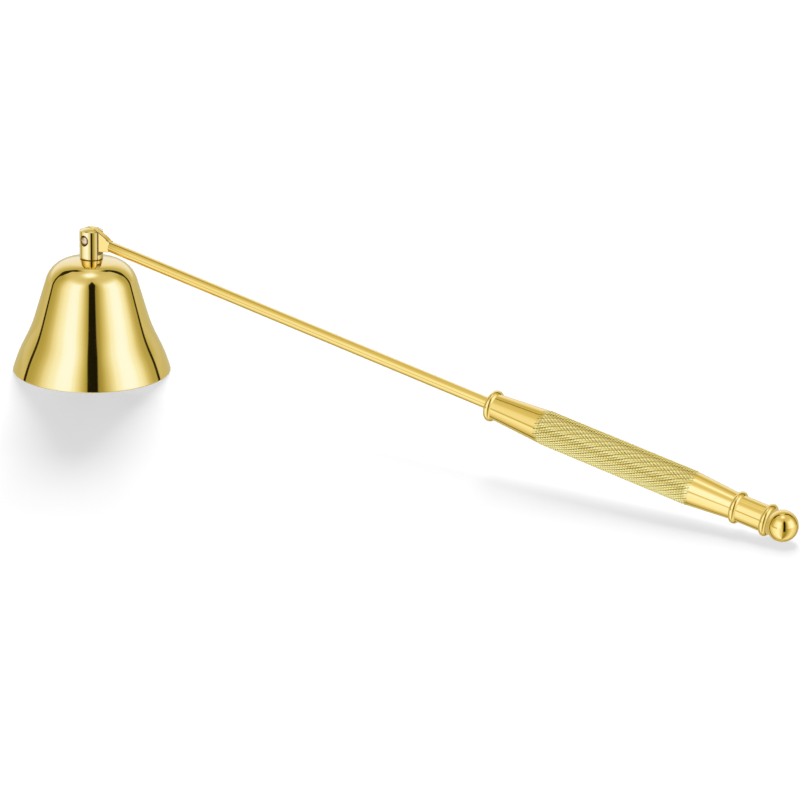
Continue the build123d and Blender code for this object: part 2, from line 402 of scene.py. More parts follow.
# Hinge pin: a short plain brass pin pressed through both ears, its ends peened over
# so that they stand as small rough domes in their countersinks.
pin_tip = 3.01 * mm
pin_dome = 0.4 * mm
pin_dome_steps = 6
pin_line = [(0, -pin_tip)]
for i in range(1, pin_dome_steps + 1):
    angle = math.pi / 2 * i / pin_dome_steps
    pin_line.append((pin_radius * math.sin(angle), -pin_tip + pin_dome * (1 - math.cos(angle))))
pin_line += [(r, -y) for r, y in pin_line[::-1]]
pin = turned("hinge_pin", pin_line, hinge, (0, 1, 0), steps=64, crease=40, closed=False)
peened_gold = polished_gold("peened_gold", (0.80, 0.57, 0.30), roughness=0.22, hairline=0.9)
pin.data.materials.append(peened_gold)
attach(pin, "bell")
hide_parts("hinge_pin")


# Flat washer, split spring washer and hexagon nut inside the crown: zinc-plated steel,
# stamped, coiled and pressed. They draw the post down onto the bell.
washer_height = 0.5 * mm
spring_height = 0.8 * mm
nut_height = 2.4 * mm
washer_level = pad_level - washer_height
spring_level = washer_level - spring_height
nut_level = spring_level - nut_height
zinc = bpy.data.materials.new("zinc_plate")
zinc.use_nodes = True
zinc_nodes, zinc_links = zinc.node_tree.nodes, zinc.node_tree.links
zinc_shader = zinc_nodes["Principled BSDF"]
zinc_shader.inputs["Metallic"].default_value = 1.0
zinc_place = zinc_nodes.new("ShaderNodeTexCoord")
zinc_spangle = zinc_nodes.new("ShaderNodeTexVoronoi")
zinc_spangle.inputs["Scale"].default_value = 1800.0
zinc_links.new(zinc_place.outputs["Object"], zinc_spangle.inputs["Vector"])
zinc_tone = zinc_nodes.new("ShaderNodeValToRGB")
zinc_tone.color_ramp.elements[0].color = (0.46, 0.47, 0.49, 1)
zinc_tone.color_ramp.elements[1].color = (0.64, 0.65, 0.66, 1)
zinc_links.new(zinc_spangle.outputs["Distance"], zinc_tone.inputs["Fac"])
zinc_links.new(zinc_tone.outputs["Color"], zinc_shader.inputs["Base Color"])
zinc_rough = zinc_nodes.new("ShaderNodeMapRange")
zinc_rough.inputs["To Min"].default_value = 0.24
zinc_rough.inputs["To Max"].default_value = 0.4
zinc_links.new(zinc_spangle.outputs["Distance"], zinc_rough.inputs["Value"])
zinc_links.new(zinc_rough.outputs["Result"], zinc_shader.inputs["Roughness"])

# The stamped washer's section: radius and height, in mm.
washer_line = [
    (1.6, 0.06), (1.66, 0), (3.14, 0), (3.26, 0.05), (3.3, 0.16),
    (3.3, 0.44), (3.24, 0.5), (1.66, 0.5), (1.6, 0.44),
]
washer_line = [(r * mm, z * mm) for r, z in washer_line]
washer = turned("flat_washer", washer_line, (0, 0, washer_level), (0, 0, 1), steps=96, crease=30)
washer.data.materials.append(zinc)
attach(washer, "bell")
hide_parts("flat_washer")

# The coiled washer's section: radius and height, in mm.
spring_line = [
    (1.6, 0.1), (1.66, 0.04), (2.84, 0.04), (2.9, 0.1),
    (2.9, 0.7), (2.84, 0.76), (1.66, 0.76), (1.6, 0.7),
]
spring_steps = 96
spring_rise = 0.03 * mm
slit_half = 0.12
spring_shape = bmesh.new()
sections = []
for i in range(spring_steps + 1):
    angle = math.pi / 2 + slit_half + (2 * math.pi - 2 * slit_half) * i / spring_steps
    lift = spring_level + spring_rise * (i / spring_steps - 0.5)
    section = []
    for r, z in spring_line:
        spot = (r * mm * math.cos(angle), r * mm * math.sin(angle), z * mm + lift)
        section.append(spring_shape.verts.new(spot))
    sections.append(section)
for first, second in zip(sections, sections[1:]):
    skin(spring_shape, first, second)
spring_shape.faces.new(sections[0])
spring_shape.faces.new(sections[-1][::-1])
spring = smoothed("spring_washer", spring_shape, crease=30)
spring.data.materials.append(zinc)
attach(spring, "bell")
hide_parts("spring_washer")

nut_half = 2.75 * mm
nut_bore = 1.56 * mm
nut_mouth = 1.85 * mm
nut_mouth_depth = 0.3 * mm
nut_face = 2.66 * mm
nut_rounded = 0.97 * nut_half
nut_chamfer = math.radians(30)
nut_steps = 120
sixth = math.pi / 3
nut_shape = bmesh.new()
nut_rings = [[] for _ in range(8)]
for i in range(nut_steps):
    angle = 2 * math.pi * i / nut_steps
    corner = nut_half / math.cos(angle % sixth - sixth / 2)
    fall = max(0.0, corner - nut_rounded) * math.tan(nut_chamfer)
    lower = [(nut_bore, nut_mouth_depth), (nut_mouth, 0.0), (nut_face, 0.0), (corner, fall)]
    upper = [(r, nut_height - z) for r, z in lower[::-1]]
    turn = angle + sixth / 2
    for ring, (r, z) in zip(nut_rings, lower + upper):
        ring.append(nut_shape.verts.new((r * math.cos(turn), r * math.sin(turn), nut_level + z)))
for first, second in zip(nut_rings, nut_rings[1:] + nut_rings[:1]):
    skin(nut_shape, first, second)
nut = smoothed("crown_nut", nut_shape, crease=18)
nut.data.materials.append(zinc)
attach(nut, "bell")
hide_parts("crown_nut")


# Hinge lug: a flat forged tongue with a round eye that turns on the pin. It narrows to
# the stem, straight below and with a swept curve above, and is brazed into the stem's end.
ball_radius = 3.55 * mm
ball_station = 197.8 * mm
slope = math.asin((pin_level - ball_radius) / ball_station)
handle_way = Vector((math.cos(slope), 0, -math.sin(slope)))
handle_up = Vector((math.sin(slope), 0, math.cos(slope)))
handle_turn = Matrix((handle_way, (0, 1, 0), handle_up)).transposed().to_4x4()
handle_place = Matrix.Translation(hinge) @ handle_turn
eye_radius = 3.2 * mm
eye_steps = 60
bore_radius = 1.04 * mm
lug_half = 0.8 * mm
lug_length = 6.4 * mm
lug_end_steps = 7
lug_under_steps = 8
swept_end = math.atan2(3.04, 1.0)
rod_radius = 1.35 * mm
lug_shade_start = 1.2 * mm
lug_shade_level = 0.9 * mm


def lug_edge():
    """The tongue's outline round the eye, anticlockwise, in the handle's own plane."""
    reach = math.hypot(lug_length, rod_radius)
    touch = math.atan2(rod_radius, lug_length) + math.acos(eye_radius / reach)
    points = []
    for i in range(lug_end_steps + 1):
        points.append((lug_length, -rod_radius + 2 * rod_radius * i / lug_end_steps))
    # The swept curve's points: along the handle and up from it, in mm.
    swept = [
        (5.95, 1.42), (5.5, 1.6), (5.0, 1.84), (4.45, 2.07),
        (3.8, 2.28), (3.1, 2.48), (2.4, 2.68), (1.7, 2.87),
    ]
    points += [(x * mm, z * mm) for x, z in swept]
    for i in range(eye_steps + 1):
        angle = swept_end + (2 * math.pi - touch - swept_end) * i / eye_steps
        points.append((eye_radius * math.cos(angle), eye_radius * math.sin(angle)))
    x, z = points[-1]
    for i in range(1, lug_under_steps):
        t = i / lug_under_steps
        points.append((x + (lug_length - x) * t, z + (-rod_radius - z) * t))
    return points


lug_shape = bmesh.new()
lug_sides = []
for y in (-lug_half, lug_half):
    rim, eye = [], []
    for x, z in lug_edge():
        angle = math.atan2(z, x)
        rim.append(lug_shape.verts.new((x, y, z)))
        eye.append(lug_shape.verts.new((bore_radius * math.cos(angle), y, bore_radius * math.sin(angle))))
    skin(lug_shape, rim, eye)
    lug_sides.append((rim, eye))
for near, far in zip(*lug_sides):
    skin(lug_shape, near, far)
lug = smoothed("hinge_lug", lug_shape, crease=35)
lug.data.transform(handle_place)
cut_away(lug, [], edge_round, crease=40)
handle_colour = (0.985, 0.695, 0.175)
handle_gold = polished_gold("handle_gold", handle_colour, roughness=0.06, hairline=0.05, stretch=(1, 10, 10))
lug.data.materials.append(handle_gold)
lug.data.materials.append(painted_shade)
# Painted dark reflection: the tongue's rounded upper edge, past the given start along the handle and above
# the given height, takes the dark gold.
for face in lug.data.polygons:
    x, y, z = handle_place.inverted() @ face.center
    if x > lug_shade_start and z > lug_shade_level and on_rounding(face):
        face.material_index = 1
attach(lug, "handle")
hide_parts("hinge_lug")


# Stem rod: drawn brass rod, straight and polished, that runs from the lug right through
# the grip and is threaded at its far end for the finial.
rod_end = 192.5 * mm
rod_rows = 24
rod_round = 0.18 * mm
rod_round_steps = 5
rod_flat = rod_radius - rod_round
rod_line = [(0, lug_length), (rod_flat, lug_length)]
for i in range(1, rod_round_steps + 1):
    angle = math.pi / 2 * i / rod_round_steps
    across = rod_flat + rod_round * math.sin(angle)
    rod_line.append((across, lug_length + rod_round * (1 - math.cos(angle))))
for i in range(1, rod_rows + 1):
    rod_line.append((rod_radius, lug_length + (rod_end - lug_length) * i / rod_rows))
rod_line.append((0, rod_end))
rod = turned("stem_rod", rod_line, hinge, handle_way, steps=96, crease=40, closed=False)
rod.data.materials.append(handle_gold)
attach(rod, "handle")
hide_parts("stem_rod")


# Front ferrule: a turned brass disc with a fully rounded edge, pressed on the stem. It
# covers the end of the grip and stops it from sliding forward.
ferrule_start = 120.9 * mm
grip_start = 122.7 * mm
ring_radius = 3.75 * mm
ring_bore = 1.37 * mm
ring_land = 0.4 * mm
ring_round_steps = 32


def ring_edge(start, end):
    """A disc's outline from its front bore to its rear bore, with a full round at the edge."""
    half = (end - start) / 2
    root = ring_radius - half
    line = [(ring_bore, start), (root - ring_land, start)]
    for i in range(ring_round_steps + 1):
        angle = math.pi * i / ring_round_steps
        line.append((root + half * math.sin(angle), start + half - half * math.cos(angle)))
    return line + [(root - ring_land, end), (ring_bore, end)]


ferrule_line = ring_edge(ferrule_start, grip_start)
ferrule = turned("front_ferrule", ferrule_line, hinge, handle_way, steps=192, crease=40)
ferrule.data.materials.append(handle_gold)
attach(ferrule, "handle")
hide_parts("front_ferrule")


# Grip: a brass sleeve turned with two tapers, polished, and rolled between knurling
# wheels so that a band of fine diamonds stands between them and fades into each taper.
band_start = 136.1 * mm
band_end = 174.8 * mm
grip_end = 185.9 * mm
grip_radius = 4.025 * mm
taper_radius = 3.075 * mm
taper_rows = 8
knurl_starts = 38
knurl_rows = 32
knurl_depth = 0.14 * mm
knurl_stand = 0.09 * mm
knurl_front = band_start - 1.2 * mm
knurl_rear = band_end + 1.0 * mm
blank_radius = grip_radius - knurl_stand
front_fall = (blank_radius - taper_radius) / (band_start - grip_start)
rear_fall = (blank_radius - taper_radius) / (grip_end - band_end)
knit_gap = 0.004 * mm
taper_skin = 0.002 * mm
open_reach = 0.2 * mm

tile_shape = bmesh.new()
tile_marks = {}


def tile_point(x, y, h):
    """One point of the knurl tile, shared by the facets that meet there."""
    key = (round(x, 6), round(y, 6), round(h, 6))
    if key not in tile_marks:
        tile_marks[key] = tile_shape.verts.new(key)
    return tile_marks[key]


flat, shelf = 0.22, 0.62
facet_line = [(0.0, 1.0), (flat, 1.0), (shelf, 1 - (shelf - flat) / (1 - flat)), (1.0, 0.0)]
for cx, cy in ((0, 0), (-0.5, -0.5), (0.5, -0.5), (0.5, 0.5), (-0.5, 0.5)):
    for sx, sy in ((1, 1), (-1, 1), (-1, -1), (1, -1)):
        if abs(cx + sx * 0.25) > 0.5 or abs(cy + sy * 0.25) > 0.5:
            continue
        toward_x = [tile_point(cx + sx * 0.5 * f, cy, h) for f, h in facet_line]
        toward_y = [tile_point(cx, cy + sy * 0.5 * f, h) for f, h in facet_line]
        turn = 1 if sx * sy > 0 else -1
        tile_shape.faces.new([toward_x[0], toward_x[1], toward_y[1]][::turn])
        for k in (1, 2):
            tile_shape.faces.new([toward_x[k], toward_x[k + 1], toward_y[k + 1], toward_y[k]][::turn])
tile = as_object("knurl_tile", tile_shape)


def reckoner(tree):
    """Gives a function that works out a number in a node tree, from earlier outputs or plain values."""

    def reckon(operation, *terms):
        node = tree.nodes.new("ShaderNodeMath")
        node.operation = operation
        for socket, term in zip(node.inputs, terms):
            if isinstance(term, (int, float)):
                socket.default_value = term
            else:
                tree.links.new(term, socket)
        return node.outputs[0]

    return reckon


# The knurl's valleys are painted dark: painted shade that grows towards the lowest points of the diamonds,
# weighted per facet.
knurl_gold = polished_gold("knurl_gold", (1.0, 0.785, 0.21), roughness=0.24, hairline=0.15)
ridge_nodes, ridge_links = knurl_gold.node_tree.nodes, knurl_gold.node_tree.links
ridge_sum = reckoner(knurl_gold.node_tree)
ridge = ridge_nodes.new("ShaderNodeAttribute")
ridge.attribute_name = "ridge"
valley_shade_weight = ridge_nodes.new("ShaderNodeAttribute")
valley_shade_weight.attribute_name = "valley_shade_weight"
valley_shade_ramp = ridge_nodes.new("ShaderNodeMapRange")
valley_shade_ramp.inputs["From Min"].default_value = 0.0
valley_shade_ramp.inputs["From Max"].default_value = 0.65
valley_shade_ramp.inputs["To Min"].default_value = 1.0
valley_shade_ramp.inputs["To Max"].default_value = 0.0
ridge_links.new(ridge_sum("DIVIDE", ridge.outputs["Fac"], valley_shade_weight.outputs["Fac"]), valley_shade_ramp.inputs["Value"])
shade = ridge_nodes.new("ShaderNodeMix")
shade.data_type = "RGBA"
shade.blend_type = "MULTIPLY"
shade.inputs["B"].default_value = (0.12, 0.08, 0.03, 1)
ridge_links.new(ridge_sum("MULTIPLY", valley_shade_ramp.outputs["Result"], valley_shade_weight.outputs["Fac"]), shade.inputs["Factor"])
ridge_links.new(ridge_nodes["Color Ramp"].outputs["Color"], shade.inputs["A"])
ridge_links.new(shade.outputs["Result"], ridge_nodes["Principled BSDF"].inputs["Base Color"])

knurl_tree = bpy.data.node_groups.new("diamond_knurl", "GeometryNodeTree")
knurl_tree.is_modifier = True
knurl_tree.interface.new_socket(name="Geometry", in_out="INPUT", socket_type="NodeSocketGeometry")
knurl_sizes = {
    "Starts": ("NodeSocketInt", knurl_starts),
    "Rows": ("NodeSocketInt", knurl_rows),
    "Front": ("NodeSocketFloat", knurl_front),
    "Rear": ("NodeSocketFloat", knurl_rear),
    "Band Front": ("NodeSocketFloat", band_start),
    "Band Rear": ("NodeSocketFloat", band_end),
    "Front Fall": ("NodeSocketFloat", front_fall),
    "Rear Fall": ("NodeSocketFloat", rear_fall),
    "Tip Radius": ("NodeSocketFloat", grip_radius),
    "Stand": ("NodeSocketFloat", knurl_stand),
    "Depth": ("NodeSocketFloat", knurl_depth),
    "Tile": ("NodeSocketObject", tile),
    "Finish": ("NodeSocketMaterial", knurl_gold),
}
sockets = {}
for label, (kind, value) in knurl_sizes.items():
    sockets[label] = knurl_tree.interface.new_socket(name=label, in_out="INPUT", socket_type=kind)
knurl_tree.interface.new_socket(name="Geometry", in_out="OUTPUT", socket_type="NodeSocketGeometry")
knurl_nodes, knurl_links = knurl_tree.nodes, knurl_tree.links
knurl = reckoner(knurl_tree)
given = knurl_nodes.new("NodeGroupInput").outputs

# The tiles are laid out flat, a unit square each, and joined.
dots = knurl_nodes.new("GeometryNodeMeshLine")
knurl_links.new(knurl("MULTIPLY", given["Starts"], given["Rows"]), dots.inputs["Count"])
index = knurl_nodes.new("GeometryNodeInputIndex").outputs[0]
column = knurl("FLOOR", knurl("DIVIDE", knurl("ADD", index, 0.25), given["Starts"]))
start = knurl("SUBTRACT", index, knurl("MULTIPLY", column, given["Starts"]))
seat = knurl_nodes.new("ShaderNodeCombineXYZ")
knurl_links.new(knurl("ADD", column, 0.5), seat.inputs["X"])
knurl_links.new(knurl("ADD", start, 0.5), seat.inputs["Y"])
lay = knurl_nodes.new("GeometryNodeSetPosition")
knurl_links.new(dots.outputs["Mesh"], lay.inputs["Geometry"])
knurl_links.new(seat.outputs[0], lay.inputs["Position"])
pattern = knurl_nodes.new("GeometryNodeObjectInfo")
knurl_links.new(given["Tile"], pattern.inputs["Object"])
stamp = knurl_nodes.new("GeometryNodeInstanceOnPoints")
knurl_links.new(lay.outputs[0], stamp.inputs["Points"])
knurl_links.new(pattern.outputs["Geometry"], stamp.inputs["Instance"])
solid = knurl_nodes.new("GeometryNodeRealizeInstances")
knurl_links.new(stamp.outputs[0], solid.inputs[0])
knit = knurl_nodes.new("GeometryNodeMergeByDistance")
knit.inputs["Distance"].default_value = 0.001
knurl_links.new(solid.outputs[0], knit.inputs["Geometry"])

# Each point keeps its height, and each facet keeps a weight for the painted shade in its valley: heavier on
# the facets of one diagonal, heaviest on every other row of them.
tile_place = knurl_nodes.new("ShaderNodeSeparateXYZ")
knurl_links.new(knurl_nodes.new("GeometryNodeInputPosition").outputs[0], tile_place.inputs[0])
tile_x, tile_y, tile_height = tile_place.outputs
light_valley_shade, deep_valley_shade, valley_shade_drop = 0.35, 0.65, 0.5
climb = knurl("ADD", tile_x, tile_y)
from_first = knurl("ABSOLUTE", knurl("SUBTRACT", knurl("FRACT", climb), 0.5))
descent = knurl("FRACT", knurl("SUBTRACT", tile_x, tile_y))
from_second = knurl("ABSOLUTE", knurl("SUBTRACT", descent, 0.5))
every_other = knurl("MODULO", knurl("FLOOR", climb), 2.0)
facet_shade = knurl("SUBTRACT", deep_valley_shade, knurl("MULTIPLY", every_other, valley_shade_drop))
facet_shade = knurl("MULTIPLY", knurl("LESS_THAN", from_first, from_second), facet_shade)
keep = knurl_nodes.new("GeometryNodeStoreNamedAttribute")
keep.data_type = "FLOAT"
keep.domain = "POINT"
keep.inputs["Name"].default_value = "ridge"
knurl_links.new(knit.outputs[0], keep.inputs["Geometry"])
knurl_links.new(tile_height, keep.inputs["Value"])
mark = knurl_nodes.new("GeometryNodeStoreNamedAttribute")
mark.data_type = "FLOAT"
mark.domain = "FACE"
mark.inputs["Name"].default_value = "valley_shade_weight"
knurl_links.new(keep.outputs[0], mark.inputs["Geometry"])
knurl_links.new(knurl("ADD", light_valley_shade, facet_shade), mark.inputs["Value"])

# The sheet is rolled up on the grip and sinks into the blank, which falls away at both ends.
span = knurl("SUBTRACT", given["Rear"], given["Front"])
gone = knurl("MULTIPLY", span, knurl("DIVIDE", tile_x, given["Rows"]))
station = knurl("ADD", given["Front"], gone)
bearing = knurl("MULTIPLY", knurl("DIVIDE", tile_y, given["Starts"]), 2 * math.pi)
sunk = knurl("MULTIPLY", given["Depth"], knurl("SUBTRACT", 1.0, tile_height))
rolled = knurl("SUBTRACT", given["Tip Radius"], sunk)
before = knurl("MAXIMUM", knurl("SUBTRACT", given["Band Front"], station), 0.0)
after = knurl("MAXIMUM", knurl("SUBTRACT", station, given["Band Rear"]), 0.0)
before = knurl("MULTIPLY", before, given["Front Fall"])
after = knurl("MULTIPLY", after, given["Rear Fall"])
fallen = knurl("ADD", before, after)
stand = knurl("MULTIPLY", given["Stand"], knurl("GREATER_THAN", fallen, 0.0))
blank = knurl("SUBTRACT", knurl("SUBTRACT", given["Tip Radius"], stand), fallen)
skin_radius = knurl("MINIMUM", rolled, blank)
wrapped = knurl_nodes.new("ShaderNodeCombineXYZ")
knurl_links.new(station, wrapped.inputs["X"])
knurl_links.new(knurl("MULTIPLY", skin_radius, knurl("COSINE", bearing)), wrapped.inputs["Y"])
knurl_links.new(knurl("MULTIPLY", skin_radius, knurl("SINE", bearing)), wrapped.inputs["Z"])
roll = knurl_nodes.new("GeometryNodeSetPosition")
knurl_links.new(mark.outputs[0], roll.inputs["Geometry"])
knurl_links.new(wrapped.outputs[0], roll.inputs["Position"])
close = knurl_nodes.new("GeometryNodeMergeByDistance")
close.inputs["Distance"].default_value = knit_gap
knurl_links.new(roll.outputs[0], close.inputs["Geometry"])
gild = knurl_nodes.new("GeometryNodeSetMaterial")
knurl_links.new(close.outputs[0], gild.inputs["Geometry"])
knurl_links.new(given["Finish"], gild.inputs["Material"])
result = knurl_nodes.new("NodeGroupOutput")
knurl_links.new(gild.outputs[0], result.inputs[0])

grip = bpy.data.objects.new("grip", bpy.data.meshes.new("grip_blank"))
bpy.context.scene.collection.objects.link(grip)
rolling = grip.modifiers.new("knurling", "NODES")
rolling.node_group = knurl_tree
for label, (kind, value) in knurl_sizes.items():
    rolling[sockets[label].identifier] = value
bpy.context.view_layer.update()
band_mesh = bpy.data.meshes.new_from_object(grip.evaluated_get(bpy.context.evaluated_depsgraph_get()))
grip.modifiers.clear()
bpy.data.objects.remove(tile)

sleeve = bmesh.new()
sleeve.from_mesh(band_mesh)
bmesh.ops.recalc_face_normals(sleeve, faces=sleeve.faces)


def uncut(v):
    """True where the knurling wheel has not reached the polished taper."""
    down = max(band_start - v.co.x, 0) * front_fall + max(v.co.x - band_end, 0) * rear_fall
    return down > 0 and math.hypot(v.co.y, v.co.z) > blank_radius - down - taper_skin


def open_ring(at):
    """The knurled band's open edge nearest a station, in order round the axis."""
    edges = [e for e in sleeve.edges if e.is_boundary and abs(e.verts[0].co.x - at) < open_reach]
    ring = {v for e in edges for v in e.verts}
    return sorted(ring, key=lambda v: math.atan2(v.co.z, v.co.y))


def grow(ring, points):
    """Carries an open edge on through further (along, radius) points."""
    for x, r in points:
        following = []
        for v in ring:
            angle = math.atan2(v.co.z, v.co.y)
            following.append(sleeve.verts.new((x, r * math.cos(angle), r * math.sin(angle))))
        for face in skin(sleeve, ring, following):
            face.material_index = 0
            face.smooth = True
        ring = following
    return ring


def taper(start, end, r_start):
    """Points down a straight taper to the grip's end."""
    points = []
    for i in range(1, taper_rows + 1):
        t = i / taper_rows
        points.append((start + (end - start) * t, r_start + (taper_radius - r_start) * t))
    return points


for face in sleeve.faces:
    face.smooth = all(uncut(v) for v in face.verts)
    face.material_index = 0 if face.smooth else 1
front_edge_radius = blank_radius - (band_start - knurl_front) * front_fall
rear_edge_radius = blank_radius - (knurl_rear - band_end) * rear_fall
front_ring = grow(open_ring(knurl_front), taper(knurl_front, grip_start, front_edge_radius))
front_bore = grow(front_ring, [(grip_start, ring_bore)])
rear_ring = grow(open_ring(knurl_rear), taper(knurl_rear, grip_end, rear_edge_radius))
rear_bore = grow(rear_ring, [(grip_end, ring_bore)])
skin(sleeve, front_bore, rear_bore)
for ring in (front_ring, front_bore, rear_ring, rear_bore):
    for v, following in zip(ring, ring[1:] + ring[:1]):
        sleeve.edges.get((v, following)).smooth = False
bmesh.ops.recalc_face_normals(sleeve, faces=sleeve.faces)
grip_mesh = bpy.data.meshes.new("grip")
sleeve.to_mesh(grip_mesh)
sleeve.free()
grip_mesh.transform(handle_place)
grip_mesh.materials.append(handle_gold)
grip_mesh.materials.append(knurl_gold)
blank_mesh = grip.data
grip.data = grip_mesh
bpy.data.meshes.remove(blank_mesh)
bpy.data.meshes.remove(band_mesh)
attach(grip, "handle")
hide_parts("grip")


# Rear collar: a loose turned ring with a fully rounded edge, clamped between the grip
# and the finial.
finial_start = 187.5 * mm
collar_line = ring_edge(grip_end, finial_start)
collar = turned("rear_collar", collar_line, hinge, handle_way, steps=192, crease=40)
collar.data.materials.append(handle_gold)
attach(collar, "handle")
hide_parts("rear_collar")


# Ball finial: neck, rounded bead and ball turned in one piece and polished. It screws on
# the stem's threaded end and holds the handle together.
bead_start = 193.5 * mm
bead_end = 195.1 * mm
neck_radius = 3.05 * mm
neck_rows = 10
ball_steps = 60
finial_line = [(0, finial_start), (neck_radius, finial_start)]
for i in range(1, neck_rows + 1):
    finial_line.append((neck_radius, finial_start + (bead_start - finial_start) * i / neck_rows))
finial_line += ring_edge(bead_start, bead_end)[2:-2]
ball_root = math.asin((ball_station - bead_end) / ball_radius)
for i in range(ball_steps):
    angle = -ball_root + (math.pi / 2 + ball_root) * i / ball_steps
    finial_line.append((ball_radius * math.cos(angle), ball_station + ball_radius * math.sin(angle)))
finial_line.append((0, ball_station + ball_radius))
finial = turned("ball_finial", finial_line, hinge, handle_way, steps=192, crease=40, closed=False)
finial.data.materials.append(handle_gold)
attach(finial, "handle")
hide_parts("ball_finial")


# Table: a wide sheet of matt white board under the snuffer. It stays out of the polished
# gold, whose mirror image of the studio comes from the tent alone.
table_half = 6.0
table_drop = 0.05 * mm
white_board = bpy.data.materials.new("white_table")
white_board.use_nodes = True
board_shader = white_board.node_tree.nodes["Principled BSDF"]
board_shader.inputs["Base Color"].default_value = (0.93, 0.93, 0.93, 1)
board_shader.inputs["Roughness"].default_value = 1.0
board_shader.inputs["Specular IOR Level"].default_value = 0.0
table_mesh = bpy.data.meshes.new("table")
table_corners = [(x * table_half, y * table_half, 0) for x, y in ((-1, -1), (1, -1), (1, 1), (-1, 1))]
table_mesh.from_pydata(table_corners, [], [(0, 1, 2, 3)])
table = bpy.data.objects.new("table", table_mesh)
table.location = (0, 0, -table_drop)
table.visible_glossy = False
table.data.materials.append(white_board)
bpy.context.scene.collection.objects.link(table)


# Light tent: soft white panels all round, with narrow dark gaps between them that show as
# black lines in the polished gold. Only mirror rays see it: the table is lit by an even grey,
# and the camera sees white. A place in it is how far a ray points ahead, aside and up, from -1 to 1.
view_turn = math.radians(40.07)
brightest = 1.1
strongest_tint = 3.5
world = bpy.data.worlds.new("studio")
bpy.context.scene.world = world
world.use_nodes = True
tent_nodes, tent_links = world.node_tree.nodes, world.node_tree.links
tent_nodes.clear()
panel = reckoner(world.node_tree)
look = tent_nodes.new("ShaderNodeTexCoord")


def along_way(way):
    """How far a direction points along a fixed one."""
    node = tent_nodes.new("ShaderNodeVectorMath")
    node.operation = "DOT_PRODUCT"
    tent_links.new(look.outputs["Generated"], node.inputs[0])
    node.inputs[1].default_value = way
    return node.outputs["Value"]


def tones(place, stops):
    """A colour picked from a row of (place, colour) stops."""
    node = tent_nodes.new("ShaderNodeValToRGB")
    while len(node.color_ramp.elements) < len(stops):
        node.color_ramp.elements.new(0.5)
    for element, (position, colour) in zip(node.color_ramp.elements, stops):
        element.position = position
        element.color = (*colour, 1)
    tent_links.new(place, node.inputs["Fac"])
    return node.outputs["Color"]


def round_panel(stops):
    """Brightness all round the tent, by the angle in degrees from the front."""
    greys = [(0.5 + angle / 360, [bright / brightest] * 3) for angle, bright in stops]
    return panel("MULTIPLY", tones(round_tent, greys), brightest)


def fade(value, low, high):
    """A soft step from 0 to 1 between two places."""
    node = tent_nodes.new("ShaderNodeMapRange")
    node.interpolation_type = "SMOOTHSTEP"
    node.inputs["From Min"].default_value = low
    node.inputs["From Max"].default_value = high
    tent_links.new(value, node.inputs["Value"])
    return node.outputs["Result"]


def blend(share, first, second):
    """From one panel to the next."""
    node = tent_nodes.new("ShaderNodeMix")
    node.data_type = "FLOAT"
    tent_links.new(share, node.inputs["Factor"])
    for socket, term in ((node.inputs["A"], first), (node.inputs["B"], second)):
        if isinstance(term, (int, float)):
            socket.default_value = term
        else:
            tent_links.new(term, socket)
    return node.outputs["Result"]


def darken(tent, where, strength):
    """Takes part of the light away in one place."""
    return panel("MULTIPLY", tent, panel("SUBTRACT", 1.0, panel("MULTIPLY", where, strength)))


ahead = along_way((math.sin(view_turn), -math.cos(view_turn), 0))
aside = along_way((math.cos(view_turn), math.sin(view_turn), 0))
height = along_way((0, 0, 1))
round_tent = panel("ADD", panel("DIVIDE", panel("ARCTAN2", aside, ahead), 2 * math.pi), 0.5)
walls = round_panel([
    (-180, 0.68), (-140, 0.69), (-117, 0.68), (-109, 0.5), (-104, 0.48), (-95, 0.54), (-85, 0.7), (-78, 0.88),
    (-71, 0.97), (-63, 1.04), (-53, 1.08), (-42, 1.09), (-32, 1.08), (-26, 1.01), (-20, 0.86), (-15, 0.67),
    (-8, 0.43), (10, 0.34), (15, 0.44), (21, 0.62), (31, 0.89), (38, 1.04), (49, 1.083), (61, 1.09),
    (70, 1.075), (77, 1.03), (84, 0.94), (93, 0.67), (101, 0.52), (109, 0.5), (117, 0.68), (180, 0.68),
])
ceiling = round_panel([
    (-180, 0.85), (-140, 0.7), (-112, 0.69), (-90, 0.74), (-60, 0.77), (-25, 0.73), (0, 0.62),
    (25, 0.73), (60, 0.75), (90, 0.73), (112, 0.68), (140, 0.7), (180, 0.85),
])
below = round_panel([
    (-180, 0.58), (-165, 0.61), (-136, 0.62), (-120, 0.66), (-108, 0.68), (-95, 0.84), (-80, 1.0),
    (-60, 1.06), (-41, 1.08), (-17, 0.85), (-7, 0.45), (11, 0.3), (41, 0.8), (60, 1.0), (81, 0.9),
    (108, 0.66), (120, 0.66), (165, 0.61), (180, 0.58),
])
tent = blend(fade(height, 0.58, 0.86), walls, ceiling)

# A back wall that is palest straight behind, and a bright oval overhead.
back_tone, back_gain = 0.57, 0.4
back_wall = panel("ADD", panel("MULTIPLY", fade(ahead, -0.5, -0.88), back_gain), back_tone)
back_place = panel("MULTIPLY", fade(ahead, -0.40, -0.47), fade(height, 0.05, 0.22))
tent = blend(back_place, tent, back_wall)
top_aside = panel("MULTIPLY", panel("ADD", aside, 0.05), 0.8)
top_ahead = panel("MULTIPLY", panel("SUBTRACT", ahead, 0.08), 0.75)
top_off = panel("SQRT", panel("ADD", panel("POWER", top_aside, 2), panel("POWER", top_ahead, 2)))
top_place = panel("MULTIPLY", fade(top_off, 0.26, 0.06), fade(height, 0.5, 0.8))
tent = blend(top_place, tent, brightest)

# A faint line at the left where the walls end, above the tent's paler floor.
edge_shade = 0.4
edge_line = fade(panel("ABSOLUTE", panel("ADD", height, 0.04)), 0.13, 0.02)
edge_span = panel("MULTIPLY", fade(aside, -0.6, -0.85), fade(ahead, -0.2, 0.1))
edge_line = panel("MULTIPLY", edge_line, edge_span)
edge_line = panel("MULTIPLY", edge_line, fade(ahead, 0.72, 0.55))
tent = blend(fade(height, 0.01, -0.04), tent, below)
tent = darken(tent, edge_line, edge_shade)

